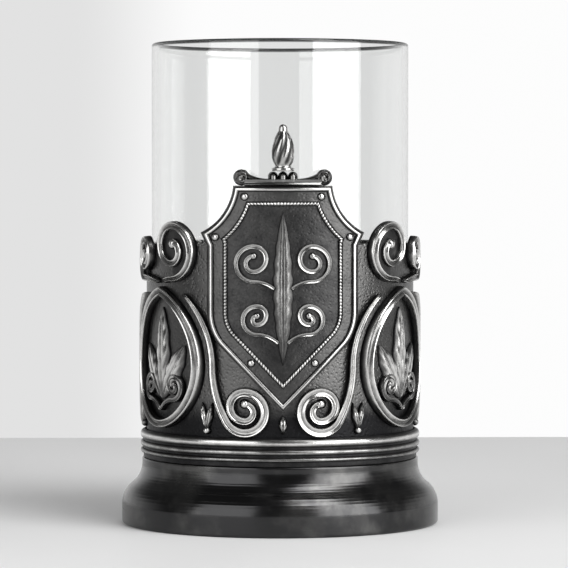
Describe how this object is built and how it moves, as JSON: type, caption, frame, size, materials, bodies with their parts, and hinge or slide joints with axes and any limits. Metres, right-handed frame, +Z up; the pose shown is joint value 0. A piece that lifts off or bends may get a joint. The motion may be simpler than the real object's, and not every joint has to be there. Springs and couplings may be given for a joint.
{
  "type": "tea glass holder",
  "caption": "Clear tea glass standing in a footed metal holder with scrolled relief, a front shield and a loop handle.",
  "frame": {"origin": "centre of the foot's flat underside, where the holder stands on the table", "axes": "+Z up along the axis of the glass, the shield faces -Y and the handle is at +Y"},
  "size_m": [0.084, 0.1087, 0.127],
  "materials": {
    "foot": "blackened and polished",
    "inside": "dull tinned",
    "collar": "polished over blackening",
    "wall": "blackened",
    "shield": "blackened with polished edges",
    "relief": "blackened with polished edges",
    "crest": "blackened with polished edges",
    "rivet": "polished",
    "handle": "polished over blackening",
    "glass": "clear"
  },
  "bodies": {
    "holder": {"foot_skirt": "foot", "foot_base_plate": "foot", "seat_cup": "inside", "collar_band": "collar", "collar_upper_bead": "collar", "collar_middle_bead": "collar", "collar_lower_bead": "collar", "wall_sleeve": "wall", "shield_plate": "shield", "shield_outer_moulding": "shield", "shield_inner_moulding": "shield", "shield_spray": "shield", "shield_tip_leaf": "relief", "shield_rivets": "rivet", "crest_bar": "crest", "crest_finial": "crest", "left_medallion_frame": "relief", "left_medallion_palmette": "relief", "left_front_volute": "relief", "left_rear_volute": "relief", "left_front_scroll": "relief", "left_rear_scroll": "relief", "left_front_darts": "relief", "left_rear_darts": "relief", "right_medallion_frame": "relief", "right_medallion_palmette": "relief", "right_front_volute": "relief", "right_rear_volute": "relief", "right_front_scroll": "relief", "right_rear_scroll": "relief", "right_front_darts": "relief", "right_rear_darts": "relief", "handle_plate": "handle", "handle_loop": "handle", "handle_thumb_rest": "handle", "handle_rivets": "rivet"},
    "glass": {"tea_glass": "glass"}
  },
  "joints": [
    {"name": "glass_lift", "type": "slide", "parent": "holder", "child": "glass", "axis": [0, 0, 1], "range_m": [0, 0.09]}
  ]
}
